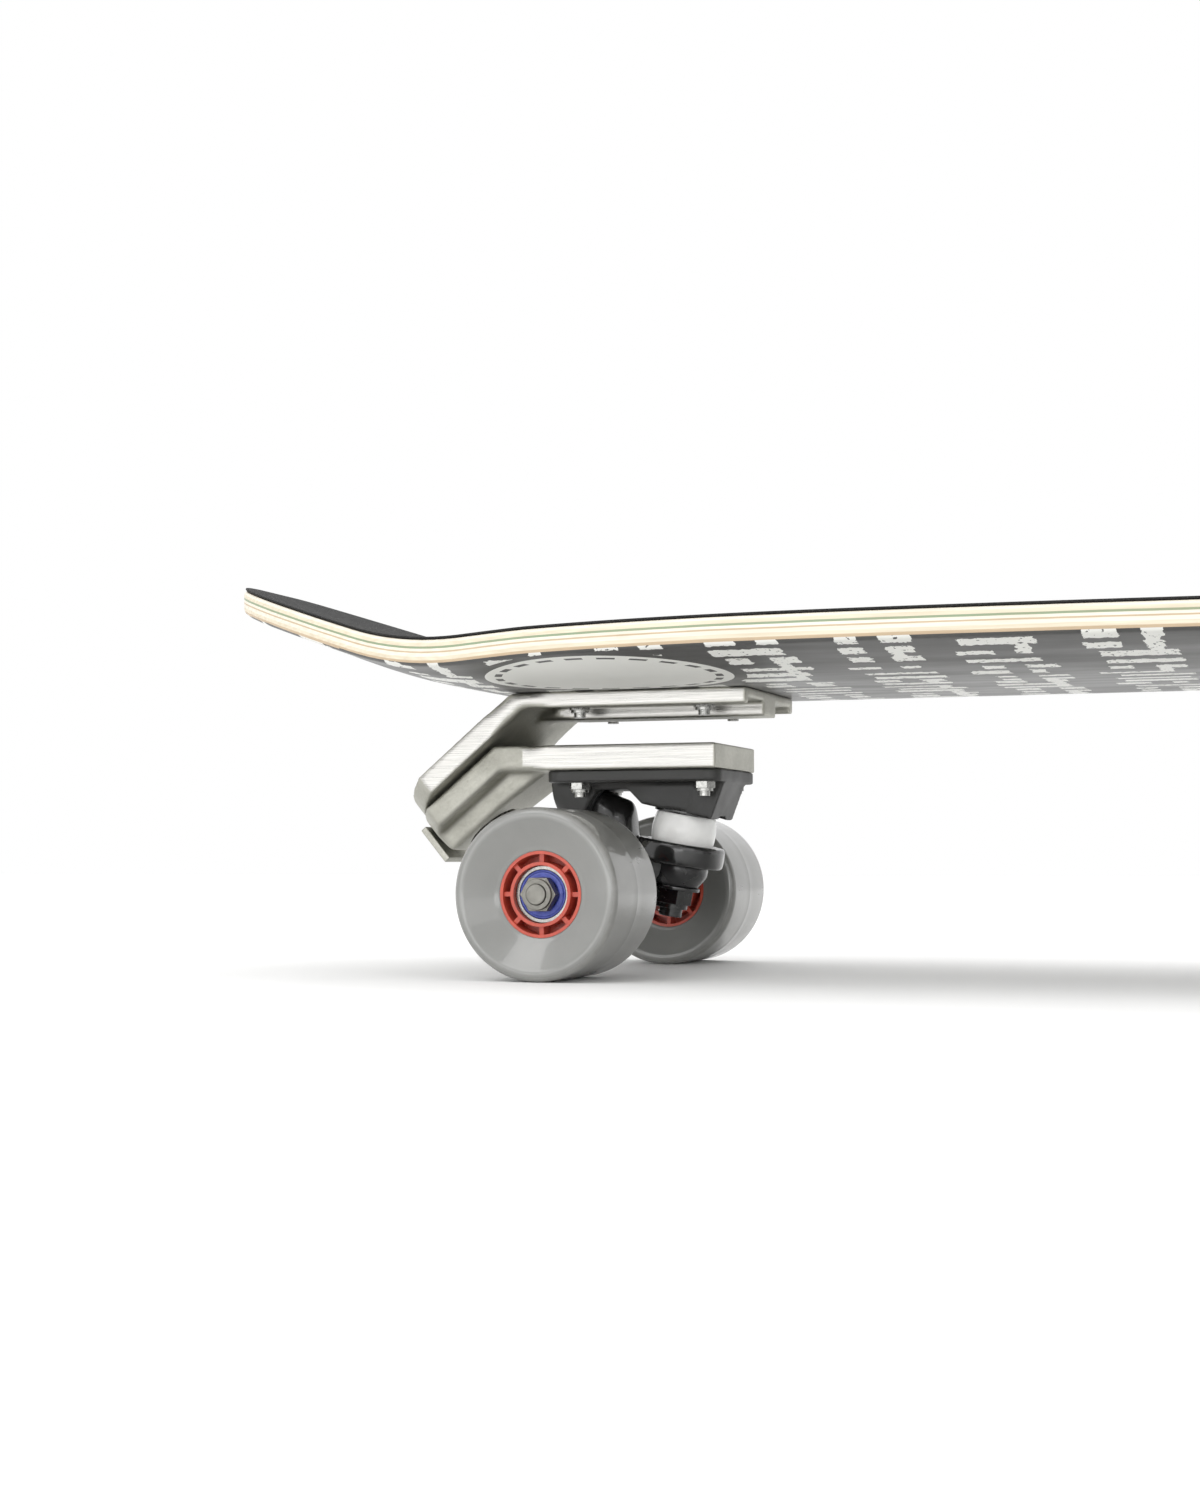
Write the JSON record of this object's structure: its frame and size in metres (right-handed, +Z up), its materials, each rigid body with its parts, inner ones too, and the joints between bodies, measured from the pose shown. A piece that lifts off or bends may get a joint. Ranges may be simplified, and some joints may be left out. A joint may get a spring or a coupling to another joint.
{
  "type": "surf-style skateboard",
  "caption": "Kicked wooden board with a front truck on a swinging adapter, a rear truck on a riser, and spinning urethane wheels with cored hubs.",
  "frame": {"origin": "on the floor under the middle of the bounding box", "axes": "+X towards the nose, +Y to the rider's left, +Z up; the wheels stand on z = 0"},
  "size_m": [0.813, 0.23, 0.1658],
  "materials": {
    "wood": "clear lacquered maple veneers",
    "grip": "coarse black grit sheet",
    "cast_alloy": "fine cast skin with brushed side faces",
    "black_paint": "gloss black enamel",
    "grey_paint": "satin dark grey powder coat",
    "zinc": "zinc plated",
    "dark_steel": "dull grey steel",
    "black_zinc": "glossy black plated steel",
    "black_rubber": "matt",
    "white_urethane": "gloss white urethane",
    "black_urethane": "gloss black urethane",
    "wheel_urethane": "glossy warm grey urethane",
    "core_red": "coral red moulded core",
    "race_steel": "ground bearing steel",
    "shield_blue": "blue-violet bearing shield",
    "riser": "moulded black plastic"
  },
  "bodies": {
    "deck": {"deck": "wood", "grip_tape": "grip", "upper_plate": "cast_alloy", "front_deck_bolts": "zinc", "front_deck_nuts": "zinc", "swing_bolt": "zinc", "swing_bearing": "dark_steel", "swing_washer": "zinc", "swing_nut": "zinc", "rear_riser": "riser", "rear_bolts": "zinc", "rear_nuts": "zinc", "rear_baseplate": "grey_paint", "rear_pivot_cup": "black_rubber", "rear_kingpin": "black_zinc", "rear_washer_top": "black_zinc", "rear_washer_bottom": "black_zinc", "rear_bushing_top": "white_urethane", "rear_bushing_bottom": "black_urethane", "rear_kingpin_nut": "black_zinc"},
    "swing_arm": {"swing_arm": "cast_alloy", "arm_end_plate": "cast_alloy", "front_truck_bolts": "zinc", "front_truck_nuts": "zinc", "front_baseplate": "grey_paint", "front_pivot_cup": "black_rubber", "front_kingpin": "black_zinc", "front_washer_top": "black_zinc", "front_washer_bottom": "black_zinc", "front_bushing_top": "white_urethane", "front_bushing_bottom": "black_urethane", "front_kingpin_nut": "black_zinc"},
    "front_hanger": {"front_hanger": "black_paint", "front_axle": "dark_steel", "front_axle_washers": "zinc", "front_axle_nuts": "dark_steel", "front_bearing_inners": "race_steel"},
    "rear_hanger": {"rear_hanger": "black_paint", "rear_axle": "dark_steel", "rear_axle_washers": "zinc", "rear_axle_nuts": "dark_steel", "rear_bearing_inners": "race_steel"},
    "wheel_fl": {"wheel_fl_tyre": "wheel_urethane", "wheel_fl_core": "core_red", "wheel_fl_bearings": "race_steel", "wheel_fl_shields": "shield_blue"},
    "wheel_fr": {"wheel_fr_tyre": "wheel_urethane", "wheel_fr_core": "core_red", "wheel_fr_bearings": "race_steel", "wheel_fr_shields": "shield_blue"},
    "wheel_rl": {"wheel_rl_tyre": "wheel_urethane", "wheel_rl_core": "core_red", "wheel_rl_bearings": "race_steel", "wheel_rl_shields": "shield_blue"},
    "wheel_rr": {"wheel_rr_tyre": "wheel_urethane", "wheel_rr_core": "core_red", "wheel_rr_bearings": "race_steel", "wheel_rr_shields": "shield_blue"}
  },
  "joints": [
    {"name": "front_swing", "type": "hinge", "parent": "deck", "child": "swing_arm", "pos_m": [0.3125, 0, 0.0744], "axis": [0.6428, 0, 0.766], "range_deg": [-27, 27]},
    {"name": "front_steer", "type": "hinge", "parent": "swing_arm", "child": "front_hanger", "pos_m": [0.2565, 0, 0.073], "axis": [-0.8575, 0, -0.5145], "range_deg": [-10, 10], "stiffness_Nm_per_rad": 60, "deforming": ["front_bushing_top", "front_bushing_bottom"]},
    {"name": "rear_steer", "type": "hinge", "parent": "deck", "child": "rear_hanger", "pos_m": [-0.2715, 0, 0.073], "axis": [0.8575, 0, -0.5145], "range_deg": [-10, 10], "stiffness_Nm_per_rad": 60, "deforming": ["rear_bushing_top", "rear_bushing_bottom"]},
    {"name": "wheel_fl_spin", "type": "hinge", "parent": "front_hanger", "child": "wheel_fl", "pos_m": [0.2415, 0.0775, 0.033], "axis": [0, 1, 0], "continuous": true},
    {"name": "wheel_fr_spin", "type": "hinge", "parent": "front_hanger", "child": "wheel_fr", "pos_m": [0.2415, -0.0775, 0.033], "axis": [0, 1, 0], "continuous": true},
    {"name": "wheel_rl_spin", "type": "hinge", "parent": "rear_hanger", "child": "wheel_rl", "pos_m": [-0.2565, 0.0775, 0.033], "axis": [0, 1, 0], "continuous": true},
    {"name": "wheel_rr_spin", "type": "hinge", "parent": "rear_hanger", "child": "wheel_rr", "pos_m": [-0.2565, -0.0775, 0.033], "axis": [0, 1, 0], "continuous": true}
  ]
}
